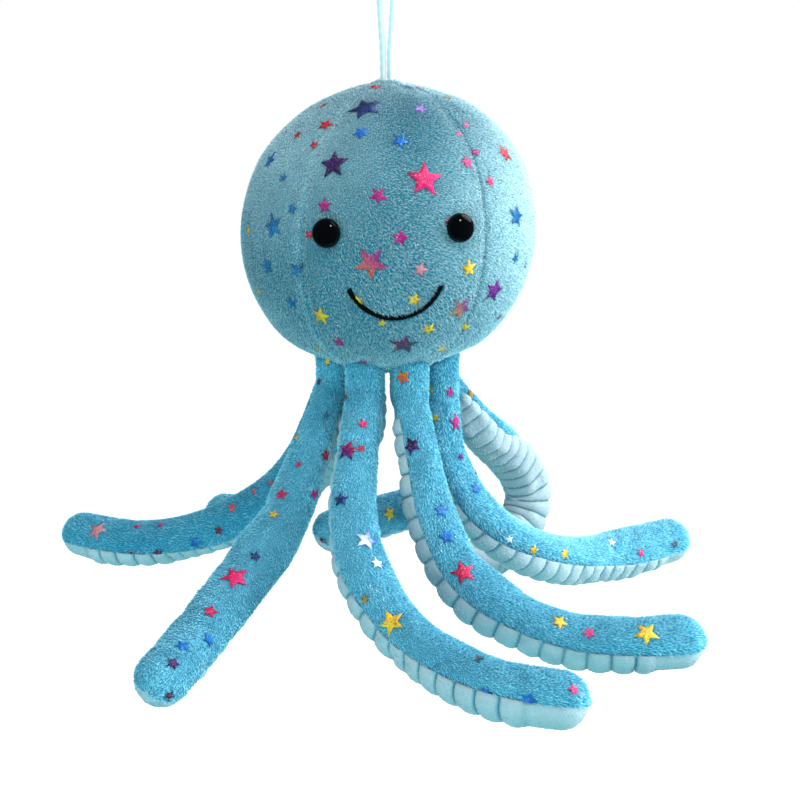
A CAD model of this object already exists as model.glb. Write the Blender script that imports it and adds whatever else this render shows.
import math
import random

import bpy
import numpy as np
from mathutils import Matrix, Vector
from mathutils.bvhtree import BVHTree


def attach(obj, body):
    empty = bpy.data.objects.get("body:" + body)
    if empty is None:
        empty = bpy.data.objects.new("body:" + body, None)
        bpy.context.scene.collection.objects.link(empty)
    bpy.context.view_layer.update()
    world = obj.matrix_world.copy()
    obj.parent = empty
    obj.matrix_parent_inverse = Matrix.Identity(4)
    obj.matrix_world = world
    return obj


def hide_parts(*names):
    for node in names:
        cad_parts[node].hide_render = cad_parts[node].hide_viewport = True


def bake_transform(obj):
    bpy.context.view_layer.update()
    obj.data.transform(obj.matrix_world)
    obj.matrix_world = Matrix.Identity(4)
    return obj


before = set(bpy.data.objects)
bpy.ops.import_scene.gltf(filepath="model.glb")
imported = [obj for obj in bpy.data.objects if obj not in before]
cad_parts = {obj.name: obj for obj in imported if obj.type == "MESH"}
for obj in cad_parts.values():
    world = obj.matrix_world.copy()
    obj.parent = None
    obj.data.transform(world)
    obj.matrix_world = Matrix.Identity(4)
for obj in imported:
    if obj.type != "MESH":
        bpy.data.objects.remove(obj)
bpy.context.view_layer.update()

MM = 0.001

# Camera: where the photograph was taken from, and its picture size
PICTURE_SIDE = 800
CAMERA_PLACE = (0.0058, -0.620, -0.0652)
CAMERA_TILT_DEGREES = 78.1
CAMERA_LENS = 62.55
CAMERA_SENSOR = 36.0
FOCAL_PIXELS = CAMERA_LENS / CAMERA_SENSOR * PICTURE_SIDE

# Hanging cord
CORD_DIAMETER = 2.6 * MM
CORD_EXIT = (-0.0015, 0.0, -0.05585)
CORD_HALF_ROUTE = [
    CORD_EXIT,
    (-0.0015, 0.0, -0.052),
    (-0.0015, 0.0, -0.047),
    (-0.0016, 0.0, -0.041),
    (-0.0021, 0.0, -0.034),
    (-0.0025, 0.0, -0.027),
    (-0.0029, 0.0, -0.020),
    (-0.0037, 0.0, -0.014),
    (-0.0048, 0.0, -0.009),
    (-0.0056, 0.0, -0.0043),
    (-0.0049, 0.0, -0.0014),
    (-0.0028, 0.0, 0.0006),
]
CORD_TOP = (0.0, 0.0, 0.0013)

# Head, from the CAD, with how far its cloth dips at the crown and how deep its seams lie
HEAD_RADIUS = 65.5 * MM
HEAD_TURN = math.radians(3)
CROWN_HEIGHT_SHARE = 0.995
CROWN_HOLE_RADIUS = 4.32 * MM
CROWN_SINK = 1.0 * MM
CROWN_SINK_SHARE = 0.22
HEAD_OUTLINE_SHARES = [
    (0.29, 0.93),
    (0.60, 0.77),
    (0.86, 0.50),
    (0.985, 0.16),
    (0.995, -0.16),
    (0.90, -0.47),
    (0.70, -0.745),
    (0.385, -0.93),
]
LOOP_RISE = 52 * MM
HEAD_CENTRE = Vector((0, 0, -LOOP_RISE - HEAD_RADIUS * CROWN_HEIGHT_SHARE))
GORES = ["face", "right", "back_right", "back_left", "left"]
SEAM_SINK = 1.4 * MM
SEAM_GROOVE = 1.3 * MM
SEAM_PARTING = 1.6
BASE_HOLE_RADIUS = 0.4 * MM
BASE_DISC_RADIUS = 24.2 * MM
BASE_DISC_SAG = 1.2 * MM

# Stuffed slightly to one side: how far the ball leans and shifts, and over what share of its outline that
# starts and ends
LEAN_DEGREES = 2.0
LEAN_SHIFT = 0.8 * MM
LEAN_START_SHARE = 0.14

# Face, from the CAD: angles from the head's centre in degrees, and how far the cloth dents at an eye
FACE_TILT = math.radians(2)
EYE_SIDE = 24.5
EYE_LEVEL = 3
EYE_RADIUS = 6 * MM
EYE_BRIM = 0.8 * MM
EYE_HEIGHT = 5.4 * MM
EYE_SINK = 0.9 * MM
EYE_SHANK_RADIUS = 2 * MM
EYE_SHANK_LENGTH = 9 * MM
EYE_EDGE = 0.3 * MM
EYE_DENT = 1.0 * MM
MOUTH_SIDE = 17.5
MOUTH_END_LEVEL = -17.5
MOUTH_DROP = 12.2
MOUTH_WIDTH = 2.1 * MM
STITCH_PITCH = 0.5 * MM

# Arms, from the CAD
ARM_LENGTH = 205 * MM
ARM_ROOT_RADIUS = 9.35 * MM
ARM_END_RADIUS = 12.1 * MM
ARM_LEAST_RADIUS = 0.25 * MM
ARM_SWELL_SHARE = 0.5
ARM_RING_RADIUS = 25.2175 * MM
ARM_ROOT_LEVEL = -187.788 * MM
RIB_START = 10 * MM
PLAIN_TIP = 9 * MM

# Each arm: the side of the base that it is sewn to, how far round its upper panel is turned at the root,
# the share of its length by which that panel faces up, or down where the arm is curled under, and its route
# in arm lengths.
ARMS = {
    "front_left": (-22.5, 35, 0.6, 1, [
        (-0.015, -0.08, -0.125), (-0.02, -0.165, -0.23), (0.006, -0.255, -0.317), (0.074, -0.33, -0.401),
        (0.176, -0.445, -0.439), (0.288, -0.535, -0.45), (0.425, -0.575, -0.455)]),
    "front_right": (22.5, 35, 0.6, 1, [
        (0.025, -0.07, -0.13), (0.05, -0.125, -0.235), (0.107, -0.185, -0.344), (0.205, -0.235, -0.411),
        (0.33, -0.27, -0.448), (0.45, -0.29, -0.451), (0.6, -0.285, -0.448)]),
    "right_front": (67.5, 10, 0.6, 1, [
        (0.015, -0.03, -0.135), (0.06, -0.05, -0.24), (0.145, -0.03, -0.33), (0.255, 0.04, -0.4),
        (0.42, 0.19, -0.446), (0.623, 0.335, -0.447)]),
    "right_back": (112.5, 30, 1, -1, [
        (0.085, 0.06, -0.115), (0.146, 0.14, -0.188), (0.2, 0.19, -0.258), (0.225, 0.21, -0.325),
        (0.215, 0.195, -0.38), (0.175, 0.15, -0.425), (0.115, 0.075, -0.45), (0.045, -0.03, -0.455)]),
    "back_right": (157.5, 0, 0.7, 1, [
        (0.03, 0.08, -0.105), (0.065, 0.185, -0.23), (0.085, 0.27, -0.34), (0.07, 0.345, -0.405),
        (0.01, 0.39, -0.437), (-0.085, 0.335, -0.449), (-0.23, 0.2, -0.455)]),
    "back_left": (-157.5, 0, 0.7, 1, [
        (-0.02, 0.12, -0.17), (-0.13, 0.25, -0.28), (-0.235, 0.365, -0.395), (-0.335, 0.395, -0.45),
        (-0.447, 0.41, -0.457)]),
    "left_back": (-112.5, 0, 0.7, 1, [
        (-0.085, 0.05, -0.197), (-0.159, 0.09, -0.295), (-0.27, 0.12, -0.371), (-0.41, 0.185, -0.433),
        (-0.535, 0.215, -0.451), (-0.705, 0.32, -0.457)]),
    "left_front": (-67.5, 0, 0.7, 1, [
        (-0.055, -0.07, -0.145), (-0.099, -0.14, -0.248), (-0.156, -0.225, -0.327), (-0.211, -0.325, -0.38),
        (-0.262, -0.435, -0.424), (-0.32, -0.605, -0.455)]),
}

# Where an arm is stuffed harder or softer: the middle and the half width as shares of its length, and how
# much its radius grows
ARM_SWELLS = {
    "front_left": [(0.63, 0.10, -0.5 * MM)],
    "front_right": [(0.51, 0.10, 1.2 * MM)],
    "right_front": [(0.81, 0.12, 0.9 * MM)],
    "left_front": [(0.45, 0.10, 0.9 * MM)],
}

# How an arm's two seams wander round it as it was sewn and stuffed: the share of its length, and the angle
# of each seam round the middle line in degrees
SEAM_DEGREES = (-20, 200)
WANDERING_SEAMS = {
    "front_left": [(0, -20, 200), (0.15, 2, 200), (0.35, 6, 197), (0.6, 5, 195), (0.85, 12, 192)],
    "front_right": [(0, -20, 200), (0.35, 2, 200), (0.7, -5, 200), (1, -9, 196)],
    "right_front": [(0, -20, 200), (0.25, -12, 200), (0.45, 0, 200), (0.7, -11, 200), (1, -20, 200)],
    "right_back": [(0, -10, 200), (0.25, 22, 215), (0.45, 40, 222)],
    "back_right": [(0, -20, 200), (0.4, -16, 215), (0.6, -8, 230), (1, -5, 226)],
    "back_left": [(0, -20, 200), (0.5, -15, 215)],
    "left_back": [(0, -20, 200), (0.3, -15, 222), (0.5, -10, 234), (0.68, -18, 205), (0.82, -20, 192)],
    "left_front": [(0, -20, 200), (0.3, 8, 240), (0.55, -4, 226), (0.82, 2, 214), (1, 18, 218)],
}

# Stuffing: the coarse cloth that the pressure fills, how deep under the tips of its pile it lies when
# filled and when empty, and how far it may move
HEAD_ROWS = 44
GORE_COLUMNS = 20
ARM_RING_STEP = 3.6 * MM
ARM_SIDES = 18
STUFFING_PRESSURE = 4.0
STUFFING_FRAMES = 20
CLOTH_SLACK = 0.012
CLOTH_STRETCH_STIFFNESS = 20
CLOTH_BENDING_STIFFNESS = 0.8
HEAD_DEPTH = 1.0 * MM
ARM_DEPTH = 1.0 * MM
HEAD_START_DEPTH = 2.0 * MM
ARM_START_DEPTH = 1.6 * MM
HEAD_CAP = 2.0 * MM
ARM_CAP = 1.0 * MM
ARM_SEAM_SINK = 0.8 * MM
ARM_SEAM_SPREAD_DEGREES = 13

# Plush
CLOTH_THICKNESS = 1.2 * MM
RIB_PITCH = 8.4 * MM
RIB_PITCHES = {
    "front_left": 9.0 * MM,
    "front_right": 9.0 * MM,
    "right_front": 8.0 * MM,
    "right_back": 7.2 * MM,
}
RIB_HEIGHT = 1.9 * MM
RIB_SINK = 0.25
RIB_EDGE_FLATTENING = 0.3
GROOVE_SHADE = 1.3
RIB_TONE = 0.88
RIB_FADE = 6 * MM
RIB_SHADED_SHARE = 0.35
CLOTH_RISE = 0.1
FIBRE_SIDES = 3
PER_SQUARE_CM = 1e4
HEAD_PILE = {
    "Density": 330 * PER_SQUARE_CM,
    "Length": 1.35 * MM,
    "Width": 0.46 * MM,
    "Lean": 0.85,
    "Stray": 0.22,
    "Clumps": 0.3,
    "Dark_share": 0.03,
}
ARM_PILE = {
    "Density": 230 * PER_SQUARE_CM,
    "Length": 1.7 * MM,
    "Width": 0.52 * MM,
    "Lean": 0.62,
    "Stray": 0.2,
    "Clumps": 0.8,
    "Dark_share": 0.03,
}
RIB_PILE = {
    "Density": 130 * PER_SQUARE_CM,
    "Length": 0.6 * MM,
    "Width": 0.4 * MM,
    "Lean": 0.6,
    "Stray": 0.3,
    "Clumps": 0.2,
    "Dark_share": 0.0,
}

# Where the head's pile was stroked paler or deeper: the way out from its centre, how far, and by how much
HEAD_TONE = 0.42
STROKED = [
    ((-0.55, -0.55, 0.63), 0.95, 0.34),
    ((0.88, -0.45, 0.15), 0.95, 0.5),
    ((0.16, -0.62, 0.76), 0.45, -0.2),
    ((0.0, -0.75, -0.65), 0.9, -0.1),
]

# How pale the pile looks along an arm, and along those that were stroked deeper than the rest
ARM_TONE = 0.55
ARM_TONES = {"left_back": 0.2, "right_back": 0.45}

# Bands of each panel's own map, from bottom to top: outside, lining, edges, stars and pile
OUTSIDE_BAND = (0.02, 0.70)
LINING_BAND = (0.72, 0.78)
EDGE_BAND = (0.785, 0.795)
STAR_BAND = (0.80, 0.89)
PILE_BAND = (0.90, 0.98)

# Printed foil stars
STAR_LIFT = 0.75 * MM
FOIL_THICKNESS = 0.12 * MM
STAR_NOTCH_SHARE = 0.43
STAR_SPACING = 9.5 * MM
LIMB_MARGIN = 0.4
HIDDEN_MARGIN = 3 * MM
HIDDEN_STARS = 0.28 * PER_SQUARE_CM
FLAKE_RADIUS = 0.24 * MM

# Foil colours: at one side of the star, and at the other
FOILS = {
    "red": ((160, 6, 30), (204, 24, 52)),
    "crimson": ((166, 2, 56), (210, 14, 88)),
    "maroon": ((88, 10, 52), (132, 18, 60)),
    "coral": ((196, 54, 74), (218, 92, 98)),
    "pink": ((188, 20, 94), (226, 70, 130)),
    "hot_pink": ((194, 4, 78), (228, 40, 116)),
    "pale_pink": ((190, 100, 120), (218, 146, 150)),
    "magenta": ((146, 10, 104), (190, 26, 120)),
    "purple": ((74, 12, 112), (124, 28, 140)),
    "dark_purple": ((30, 6, 66), (74, 14, 94)),
    "lilac": ((118, 84, 178), (156, 126, 200)),
    "navy": ((6, 22, 74), (12, 50, 118)),
    "royal": ((0, 80, 160), (0, 118, 204)),
    "blue": ((0, 84, 136), (0, 116, 172)),
    "teal": ((8, 72, 98), (46, 116, 140)),
    "slate": ((30, 44, 62), (78, 92, 112)),
    "gold": ((204, 150, 12), (242, 200, 44)),
    "dark_gold": ((104, 72, 8), (200, 150, 26)),
    "orange": ((200, 54, 20), (232, 126, 40)),
    "sunset": ((130, 12, 116), (220, 96, 60)),
    "plum_gold": ((80, 14, 130), (206, 140, 44)),
    "night": ((20, 64, 88), (120, 6, 60)),
    "navy_crimson": ((22, 16, 104), (176, 8, 64)),
    "ice": ((196, 206, 222), (250, 250, 252)),
    "ice_blue": ((20, 104, 206), (248, 250, 252)),
}

# Stars that the photograph shows, by foil: across and down in pixels, width in pixels, and for the larger
# ones how far round their first tip is turned from straight up, and which way their second colour lies, in
# degrees
STARS_SEEN = {
    "red": [
        (375, 88, 15), (326, 126, 16), (298, 136, 10), (315, 146, 11), (504, 154, 22), (348, 397, 10),
        (361, 449, 9), (324, 107, 9), (310, 235, 10)],
    "crimson": [
        (463, 573, 26, -12), (447, 222, 8), (325, 455, 14), (299, 465, 8), (282, 495, 14), (210, 612, 16)],
    "maroon": [
        (524, 265, 9), (498, 316, 9), (219, 530, 11), (133, 555, 10), (158, 552, 11), (323, 540, 10)],
    "coral": [(233, 508, 12), (255, 492, 8), (272, 483, 8)],
    "pink": [
        (419, 89, 9), (465, 126, 9), (458, 135, 8), (466, 163, 15, -5), (489, 182, 12), (573, 690, 13),
        (589, 634, 14), (640, 553, 10), (518, 516, 9)],
    "hot_pink": [(424, 180, 37, 4), (363, 424, 12), (235, 578, 30, 29)],
    "pale_pink": [(420, 269, 16, 20), (98, 531, 22, 5)],
    "magenta": [
        (378, 196, 19, 37), (325, 206, 16, -9), (400, 238, 18, 8), (475, 153, 10), (339, 341, 15),
        (363, 360, 13), (449, 392, 12), (455, 422, 21, 5), (314, 494, 12), (138, 527, 9), (161, 526, 9)],
    "purple": [(493, 290, 26), (460, 457, 8)],
    "dark_purple": [(334, 165, 31, -8), (412, 446, 20, -33), (173, 664, 15)],
    "lilac": [(420, 110, 16)],
    "navy": [(365, 109, 36, 36), (341, 500, 16, -8), (255, 557, 12)],
    "royal": [
        (361, 134, 17, -27), (400, 142, 17, -34), (441, 511, 16, 4), (446, 537, 17, -8), (485, 693, 15),
        (529, 700, 18), (475, 489, 14), (208, 640, 15), (182, 647, 16), (196, 542, 14)],
    "blue": [
        (271, 161, 20), (284, 178, 11), (293, 209, 12), (274, 226, 26), (268, 266, 18), (297, 269, 16),
        (292, 302, 14), (515, 216, 24), (514, 258, 12)],
    "teal": [(326, 416, 9), (300, 265, 7)],
    "slate": [(479, 660, 11), (674, 544, 10), (320, 382, 9)],
    "gold": [
        (468, 268, 19, -10), (358, 300, 12), (414, 299, 15), (382, 322, 10), (322, 315, 22),
        (428, 328, 16), (464, 326, 12), (441, 348, 13), (250, 230, 9), (260, 291, 9), (318, 347, 9),
        (328, 361, 9), (392, 623, 28, -30), (431, 389, 9), (436, 418, 9), (559, 623, 17),
        (646, 634, 26, -22), (533, 550, 12), (564, 554, 13), (274, 515, 11), (298, 437, 9), (389, 514, 15)],
    "dark_gold": [(447, 99, 10), (365, 599, 11), (470, 394, 10)],
    "orange": [(403, 377, 16)],
    "sunset": [(371, 263, 34, -37, 215)],
    "plum_gold": [(460, 308, 30, 32, 235)],
    "night": [(403, 344, 30, 4, 280), (169, 695, 12)],
    "navy_crimson": [(348, 451, 24, 8, 30)],
    "ice": [(376, 564, 14), (509, 539, 9), (611, 543, 10)],
    "ice_blue": [(366, 541, 25, -38, 265)],
}

# Sprinkled glitter: across and down in pixels, spread in pixels, and how many flakes
GLITTER = [
    (400, 290, 70, 60), (509, 540, 14, 14), (380, 595, 14, 10), (560, 625, 12, 6), (630, 550, 22, 18),
    (670, 640, 30, 6), (425, 615, 30, 5), (350, 500, 14, 4), (300, 500, 22, 4), (450, 540, 16, 8),
]

# How finely curves and round forms are drawn
CURVE_STEPS = 40
CORD_POINTS = 120
CORD_SECTION_POINTS = 18
ARM_LINE_POINTS = 401
ARM_TIP_RINGS = 6
BASE_RINGS = 14
BASE_TURNS = 40
EYE_SIDES = 48
EYE_DOME_RINGS = 12
MOUTH_POINTS = 241
FINER_HEAD = 2
FINER_ARM = {"plush": (2, 3), "ribbed": (6, 3)}

# How the pile was brushed: round the head and down it, parted over so many columns at a seam, and drawn in
# towards the crown
BRUSH_SIDEWAYS = 0.75
BRUSH_DOWN = 0.6
PARTING_COLUMNS = 3
DRAWN_IN_REACH = 9 * MM
DRAWN_IN_PULL = 1.5

# Hollow in the cloth round each eye: flat this far from the eye's middle, and gone this much further out
DENT_FLAT = 5 * MM
DENT_SLOPE = 7 * MM

# Root of an arm: the steps by which it widens from the head, how far past the base's level and into the
# head it may reach, and where its bend begins and ends above and below the hinge
SHOULDER_STEPS = (1.0, 0.66, 0.33)
ROOT_RISE = 12 * MM
ROOT_OVERLAP = 0.4 * MM

# Stars: the chance seeds, how many radii wide a star looks, and how far over a seam one may be moved. Then
# the hidden ones: how often a place is tried, their sizes, and the foils that none of them has.
STAR_SEED = 14
FOIL_SEED = 8
STAR_WIDTH_IN_RADII = 1.9
STAR_MOVE = 6 * MM
TRIES_PER_STAR = 4
HIDDEN_STAR_SIZES = [size * MM for size in (2.4, 2.8, 3.2, 3.6, 4.4, 6.2)]
FOILS_NOT_HIDDEN = {"ice", "ice_blue", "sunset", "night", "plum_gold"}

# Where a star's two foil colours meet: the share of the second in its middle, how it grows outwards, and by
# chance
FADE_MIDDLE = 0.45
FADE_SLOPE = 0.7
FADE_CHANCE = 0.18

# Panel's own map: the margin at both sides and the width between them, the half size of a star in its cell,
# how much smaller its underside is, and the places of a fibre's corners in the pile's band
MAP_MARGIN = 0.02
MAP_WIDTH = 0.96
STAR_HALF_CELL = 0.46
FOIL_UNDERSIDE_SHARE = 0.88
PILE_MAP_WIDTH = 0.94
PILE_MAP_MARGIN = 0.012
FIBRE_STEP_ACROSS = 0.004
FIBRE_STEP_DOWN = 0.0012

# Mouth: how high its satin stitches lie and arch, and how far beside them the pile is gone, in widths of
# the mouth
MOUTH_LIFT = 0.2 * MM
MOUTH_ARCH = 1.7 * MM
MOUTH_BARE_SHARE = 0.6

# Closing seam behind the head: its stretch of a gore's edge, in twelfths from the crown, and its ladder
# stitches
CLOSING_TWELFTHS = (5, 8)
LADDER_PITCH = 3.2 * MM
LADDER_LIFT = 0.9 * MM
LADDER_STITCH = {"Span": 3.4 * MM, "Thread": 0.2 * MM, "Arch": 0.8 * MM, "Slant": 0.35}

# Light: a sun from high up behind the right side, which also whitens the floor, and soft lamps aimed at the
# head. Each lamp: its place, its width, its power, whether it is mirrored in the eyes, and its colour.
SUN_PLACE = (0.75, 0.45, 0.85)
SUN_STRENGTH = 2.3
SUN_SPREAD_DEGREES = 50
WHITE = (1, 1, 1)
LAMPS = {
    "side_window": ((1.3, -0.1, 0.05), 1.0, 34, False, WHITE),
    "front_window": ((0.30, -0.60, 0.72), 0.22, 5, True, WHITE),
    "fill": ((-0.8, -0.7, -0.3), 0.9, 4, False, WHITE),
    "bounce": ((-0.2, -0.75, -0.75), 0.9, 6, False, (0.25, 0.95, 1.0)),
}
FLOOR_HALF = 9.0
FLOOR_LEVEL = -0.8

# White room: its light from below and from above, between two heights, and as it is mirrored
ROOM_BELOW = (0.20, 0.62, 0.68, 1)
ROOM_ABOVE = (0.72, 0.76, 0.78, 1)
ROOM_HEIGHTS = (-0.7, 0.6)
ROOM_MIRRORED = (0.08, 0.10, 0.11, 1)

scene = bpy.context.scene


def unit(vectors):
    """Vectors of length one."""
    lengths = np.linalg.norm(vectors, axis=-1, keepdims=True)
    return vectors / np.maximum(lengths, 1e-12)


def smooth_share(share):
    """A share held between 0 and 1 that leaves both gently."""
    t = np.clip(share, 0, 1)
    return t * t * (3 - 2 * t)


def link(name, data):
    thing = bpy.data.objects.new(name, data)
    scene.collection.objects.link(thing)
    return thing


def new_piece(name, places, faces=()):
    """An object in the scene from its points and faces."""
    mesh = bpy.data.meshes.new(name)
    mesh.from_pydata([tuple(place) for place in places], [], faces)
    return link(name, mesh)


def grid_faces(rows, columns, closed):
    """The faces of a grid that runs down its rows and across or, where it is closed, round its columns."""
    def at(r, c):
        return r * columns + c % columns

    across = range(columns if closed else columns - 1)
    return [(at(r, c), at(r + 1, c), at(r + 1, c + 1), at(r, c + 1)) for r in range(rows - 1) for c in across]


# Camera

def set_up_camera():
    data = bpy.data.cameras.new("photo_camera")
    data.lens = CAMERA_LENS
    data.sensor_width = CAMERA_SENSOR
    camera = link("photo_camera", data)
    camera.location = CAMERA_PLACE
    camera.rotation_euler = (math.radians(CAMERA_TILT_DEGREES), 0, 0)
    scene.camera = camera


def sight_line(across, down):
    """The direction from the camera through a pixel of the photograph."""
    half = PICTURE_SIDE / 2
    turn = Matrix.Rotation(math.radians(CAMERA_TILT_DEGREES), 3, "X")
    return (turn @ Vector(((across - half) / FOCAL_PIXELS, (half - down) / FOCAL_PIXELS, -1))).normalized()


set_up_camera()


# Node trees

class Field:
    """What a node gives, which is reckoned with like a number or a vector: each step adds a node."""

    def __init__(self, socket):
        self.socket = socket

    def output(self, name):
        """Another output of the same node."""
        return Field(self.socket.node.outputs[name])

    def __add__(self, other):
        return reckon("ADD", self, other)

    def __sub__(self, other):
        return reckon("SUBTRACT", self, other)

    def __rsub__(self, other):
        return reckon("SUBTRACT", other, self)

    def __mul__(self, other):
        return reckon("MULTIPLY", self, other)

    def __truediv__(self, other):
        return reckon("DIVIDE", self, other)

    def __gt__(self, other):
        return reckon("GREATER_THAN", self, other)

    def __lt__(self, other):
        return reckon("LESS_THAN", self, other)


def reckon(operation, *values):
    """A step of reckoning with fields and plain values, of which the first field may be a vector."""
    first = next(value for value in values if isinstance(value, Field)).socket
    is_vector = first.type in {"VECTOR", "RGBA"}
    node = first.id_data.nodes.new("ShaderNodeVectorMath" if is_vector else "ShaderNodeMath")
    is_scaled = is_vector and operation == "MULTIPLY"
    node.operation = "SCALE" if is_scaled else operation
    sockets = [node.inputs[0], node.inputs["Scale"]] if is_scaled else node.inputs
    for socket, value in zip(sockets, values):
        feed_socket(socket, value)
    is_number = not is_vector or operation in {"LENGTH", "DOT_PRODUCT"}
    return Field(node.outputs["Value" if is_number else "Vector"])


def put(tree, kind, settings=None, **links):
    """Adds a node, sets its properties, feeds its inputs, and gives its first output."""
    node = tree.nodes.new(kind)
    for key, value in (settings or {}).items():
        setattr(node, key, value)
    feed(node, **links)
    return Field(next(socket for socket in node.outputs if socket.enabled))


def feed(node, **links):
    """Feeds a node's inputs with values or fields, each by its name, or by its number after an i."""
    for key, value in links.items():
        label = key.replace("_", " ")
        if key[0] == "i" and key[1:].isdigit():
            feed_socket(node.inputs[int(key[1:])], value)
        else:
            feed_socket(next(s for s in node.inputs if s.enabled and s.name == label), value)


def feed_socket(socket, value):
    if isinstance(value, Field):
        socket.id_data.links.new(value.socket, socket)
    else:
        socket.default_value = value


def new_group(kind, name, inputs, outputs):
    """A node tree with named inputs and outputs. Returns it with its inputs as fields and its last node."""
    tree = bpy.data.node_groups.new(name, kind)
    for label, what, value in inputs:
        socket = tree.interface.new_socket(label, in_out="INPUT", socket_type="NodeSocket" + what)
        if value is not None:
            socket.default_value = value
    for label, what in outputs:
        tree.interface.new_socket(label, in_out="OUTPUT", socket_type="NodeSocket" + what)
    given = {socket.name: Field(socket) for socket in tree.nodes.new("NodeGroupInput").outputs if socket.name}
    return tree, given, tree.nodes.new("NodeGroupOutput")


def new_tree(name, inputs):
    """A Geometry Nodes tree."""
    inputs = [("Geometry", "Geometry", None)] + inputs
    return new_group("GeometryNodeTree", name, inputs, [("Geometry", "Geometry")])


def shader_group(name, inputs):
    """An effect that materials share: it gives a colour and a relief."""
    return new_group("ShaderNodeTree", name, inputs, [("Colour", "Color"), ("Relief", "Float")])


def finish_tree(tree, geometry, finish, result):
    """Ends a tree: real geometry with its material on it."""
    real = put(tree, "GeometryNodeRealizeInstances", Geometry=geometry)
    feed(result, Geometry=put(tree, "GeometryNodeSetMaterial", Geometry=real, Material=finish))


def grown(thing, tree, **values):
    """The plain mesh that a Geometry Nodes tree makes from an object. The modifier is removed again."""
    modifier = thing.modifiers.new(tree.name, "NODES")
    modifier.node_group = tree
    sockets = {item.name: item.identifier for item in tree.interface.items_tree if item.in_out == "INPUT"}
    for label, value in values.items():
        modifier[sockets[label.replace("_", " ")]] = value
    bpy.context.view_layer.update()
    ready = thing.evaluated_get(bpy.context.evaluated_depsgraph_get())
    mesh = bpy.data.meshes.new_from_object(ready)
    thing.modifiers.remove(modifier)
    return mesh


def grown_alone(helper, tree, **values):
    """The same from a helper object, which is removed again too."""
    mesh = grown(helper, tree, **values)
    bpy.data.objects.remove(helper)
    return mesh


# Materials

def new_material(name):
    material = bpy.data.materials.new(name)
    material.use_nodes = True
    tree = material.node_tree
    return material, tree, tree.nodes["Principled BSDF"]


def shade_mix(tree, factor, first, second):
    return put(tree, "ShaderNodeMix", {"data_type": "RGBA"}, i0=factor, i6=first, i7=second)


def mapped(tree, value, start, end, low=0.0, high=1.0):
    """A value from one range brought to another, held at its ends."""
    return put(tree, "ShaderNodeMapRange", Value=value, From_Min=start, From_Max=end, To_Min=low, To_Max=high)


def noise(tree, place, scale, detail):
    return put(tree, "ShaderNodeTexNoise", Vector=place, Scale=scale, Detail=detail)


def light_of(screen):
    """A colour of the screen, 0 to 255, as light."""
    def light(value):
        share = value / 255
        return share / 12.92 if share <= 0.04045 else ((share + 0.055) / 1.055) ** 2.4
    return tuple(light(value) for value in screen) + (1.0,)


def object_place(tree):
    return put(tree, "ShaderNodeTexCoord").output("Object")


def carried(tree, name, output="Fac"):
    """A value that the mesh itself carries."""
    return put(tree, "ShaderNodeAttribute", {"attribute_name": name}).output(output)


def pile_group():
    """Colour of plush at a point: deep at the pile's root, pale at its tips, each fibre in its own tone."""
    group, given, result = shader_group("pile_colour", [
        ("Root", "Color", None), ("Tip", "Color", None), ("Tone spread", "Float", 0.5),
        ("Cloud share", "Float", 0.16), ("Cloud scale", "Float", 55.0), ("Knit scale", "Float", 1500.0)])
    place = object_place(group)
    uneven = (noise(group, place, given["Cloud scale"], 3.0) - 0.5) * given["Cloud share"]
    spread = (carried(group, "tone") - 0.5) * given["Tone spread"]
    height = put(group, "ShaderNodeClamp", Value=carried(group, "rise") + uneven + spread)
    feed(result, Colour=shade_mix(group, height, given["Root"], given["Tip"]),
         Relief=noise(group, place, given["Knit scale"], 2.0))
    return group


def grain_group():
    """Fine grain of a smooth finish: a slightly darker colour in its hollows, and the relief."""
    group, given, result = shader_group("fine_grain", [
        ("Base", "Color", None), ("Scale", "Float", 900.0), ("Darkening", "Float", 0.28)])
    grain = noise(group, object_place(group), given["Scale"], 4.0)
    hollow = (1.0 - grain) * given["Darkening"]
    feed(result, Colour=shade_mix(group, hollow, given["Base"], (0, 0, 0, 1)), Relief=grain)
    return group


PILE_COLOUR = pile_group()
FINE_GRAIN = grain_group()


def place_group(tree, group, shader, strength, depth, **values):
    """A shared effect in a material: its colour, and its relief as a bump."""
    colour = put(tree, "ShaderNodeGroup", {"node_tree": group}, **values)
    bump = put(tree, "ShaderNodeBump", Height=colour.output("Relief"), Strength=strength, Distance=depth)
    feed(shader, Base_Color=colour, Normal=bump)


def plush_material(name, root, tip, tone_spread, sheen, tint):
    material, tree, shader = new_material(name)
    place_group(tree, PILE_COLOUR, shader, 0.25, 0.2 * MM, Root=light_of(root), Tip=light_of(tip),
                Tone_spread=tone_spread)
    feed(shader, Roughness=0.8, Specular_IOR_Level=0.25, Sheen_Weight=sheen, Sheen_Roughness=0.45,
         Sheen_Tint=light_of(tint))
    return material


def foil_material():
    """Printed foil: the star's own colour with bright flecks, and dark where it is cracked."""
    material, tree, shader = new_material("star_foil")
    place = object_place(tree)
    grain = noise(tree, place, 2000.0, 2.0)
    cracks = noise(tree, place, 900.0, 3.0)
    flecked = shade_mix(tree, mapped(tree, grain, 0.58, 0.72, 0.0, 0.3), carried(tree, "foil", "Color"),
                        (1.0, 0.92, 0.90, 1.0))
    cracked = shade_mix(tree, mapped(tree, cracks, 0.34, 0.46, 0.6, 0.0), flecked, (0.03, 0.03, 0.05, 1.0))
    bump = put(tree, "ShaderNodeBump", Height=grain, Strength=0.3, Distance=0.12 * MM)
    feed(shader, Base_Color=cracked, Metallic=0.2, Roughness=0.45, Specular_IOR_Level=0.3, Normal=bump)
    return material


def plain_material(name, base, roughness, scale, depth, gloss=0.5, darkening=0.28):
    material, tree, shader = new_material(name)
    place_group(tree, FINE_GRAIN, shader, 0.4, depth, Base=light_of(base), Scale=scale, Darkening=darkening)
    feed(shader, Roughness=roughness, Specular_IOR_Level=gloss)
    return material


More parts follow.
